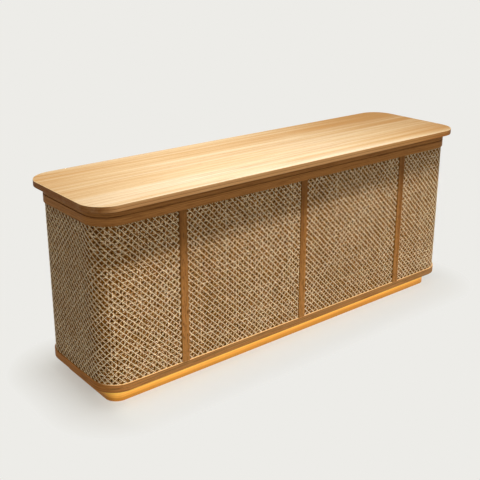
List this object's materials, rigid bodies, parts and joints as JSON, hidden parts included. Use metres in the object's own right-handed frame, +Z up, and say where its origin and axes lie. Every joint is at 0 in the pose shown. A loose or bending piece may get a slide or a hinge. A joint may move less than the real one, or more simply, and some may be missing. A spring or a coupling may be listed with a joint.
{
  "type": "reception desk",
  "caption": "Long reception desk with rounded corners, an oak counter, woven cane panels in a brown oak frame, a lit recessed plinth, and drawers, kneehole and cupboard behind.",
  "frame": {"origin": "on the floor, under the middle of the counter", "axes": "+X along the desk, to the visitor's right; -Y towards the visitor; +Y towards the staff; +Z up"},
  "size_m": [2.4, 0.65, 0.968],
  "materials": {
    "counter_oak": "pale oak veneer, satin lacquer, grain along the desk",
    "frame_oak": "mid-brown stained oak, satin",
    "plinth_oak": "honey stained oak, satin, lit from above",
    "woven_cane": "natural rattan cane, octagonal open weave, matt",
    "backing_ply": "brown stained plywood, matt",
    "carcass_oak": "oak veneered board, satin",
    "drawer_birch": "birch boards, clear lacquer",
    "pull_brass": "brushed and lacquered",
    "slide_steel": "zinc plated",
    "light_silicone": "milky silicone, lit warm",
    "driver_plastic": "moulded, fine matt"
  },
  "bodies": {
    "desk": {"counter_top": "counter_oak", "subtop_board": "frame_oak", "top_rail_front": "frame_oak", "top_rail_left": "frame_oak", "top_rail_right": "frame_oak", "top_rail_rear": "frame_oak", "bottom_rail_front": "frame_oak", "bottom_rail_left": "frame_oak", "bottom_rail_right": "frame_oak", "bottom_rail_rear": "frame_oak", "stile_left": "frame_oak", "stile_centre": "frame_oak", "stile_right": "frame_oak", "rear_stile_left": "frame_oak", "rear_stile_right": "frame_oak", "plinth_front": "plinth_oak", "plinth_left": "plinth_oak", "plinth_right": "plinth_oak", "plinth_rear": "plinth_oak", "cane_left": "woven_cane", "cane_centre_left": "woven_cane", "cane_centre_right": "woven_cane", "cane_right": "woven_cane", "backing_left": "backing_ply", "backing_centre_left": "backing_ply", "backing_centre_right": "backing_ply", "backing_right": "backing_ply", "base_board": "carcass_oak", "partition_left": "carcass_oak", "partition_right": "carcass_oak", "pedestal_side_left": "carcass_oak", "pedestal_side_right": "carcass_oak", "work_shelf": "carcass_oak", "cupboard_shelf": "carcass_oak", "top_screws": "slide_steel", "shelf_pins": "slide_steel", "light_strip": "light_silicone", "light_driver": "driver_plastic", "cabinet_slides": "slide_steel", "door_catch": "driver_plastic", "hinge_frame_leaves": "pull_brass", "hinge_pins": "pull_brass"},
    "top_drawer": {"top_drawer_front": "carcass_oak", "top_drawer_box": "drawer_birch", "top_drawer_pull": "pull_brass", "top_drawer_inner_slides": "slide_steel"},
    "top_slide": {"top_drawer_middle_slides": "slide_steel"},
    "middle_drawer": {"middle_drawer_front": "carcass_oak", "middle_drawer_box": "drawer_birch", "middle_drawer_pull": "pull_brass", "middle_drawer_inner_slides": "slide_steel"},
    "middle_slide": {"middle_drawer_middle_slides": "slide_steel"},
    "bottom_drawer": {"bottom_drawer_front": "carcass_oak", "bottom_drawer_box": "drawer_birch", "bottom_drawer_pull": "pull_brass", "bottom_drawer_inner_slides": "slide_steel"},
    "bottom_slide": {"bottom_drawer_middle_slides": "slide_steel"},
    "door": {"door": "carcass_oak", "door_pull": "pull_brass", "hinge_door_leaves": "pull_brass"}
  },
  "joints": [
    {"name": "top_drawer_pull_out", "type": "slide", "parent": "desk", "child": "top_drawer", "axis": [0, 1, 0], "range_m": [0, 0.48]},
    {"name": "top_slide_extend", "type": "slide", "parent": "desk", "child": "top_slide", "axis": [0, 1, 0], "range_m": [0, 0.24]},
    {"name": "middle_drawer_pull_out", "type": "slide", "parent": "desk", "child": "middle_drawer", "axis": [0, 1, 0], "range_m": [0, 0.48]},
    {"name": "middle_slide_extend", "type": "slide", "parent": "desk", "child": "middle_slide", "axis": [0, 1, 0], "range_m": [0, 0.24]},
    {"name": "bottom_drawer_pull_out", "type": "slide", "parent": "desk", "child": "bottom_drawer", "axis": [0, 1, 0], "range_m": [0, 0.48]},
    {"name": "bottom_slide_extend", "type": "slide", "parent": "desk", "child": "bottom_slide", "axis": [0, 1, 0], "range_m": [0, 0.24]},
    {"name": "door_swing", "type": "hinge", "parent": "desk", "child": "door", "pos_m": [1.00375, 0.2995, 0.4915], "axis": [0, 0, -1], "range_deg": [0, 110]}
  ],
  "couplings": [
    {"joint": "top_slide_extend", "follows": "top_drawer_pull_out", "ratio": 0.5},
    {"joint": "middle_slide_extend", "follows": "middle_drawer_pull_out", "ratio": 0.5},
    {"joint": "bottom_slide_extend", "follows": "bottom_drawer_pull_out", "ratio": 0.5}
  ]
}
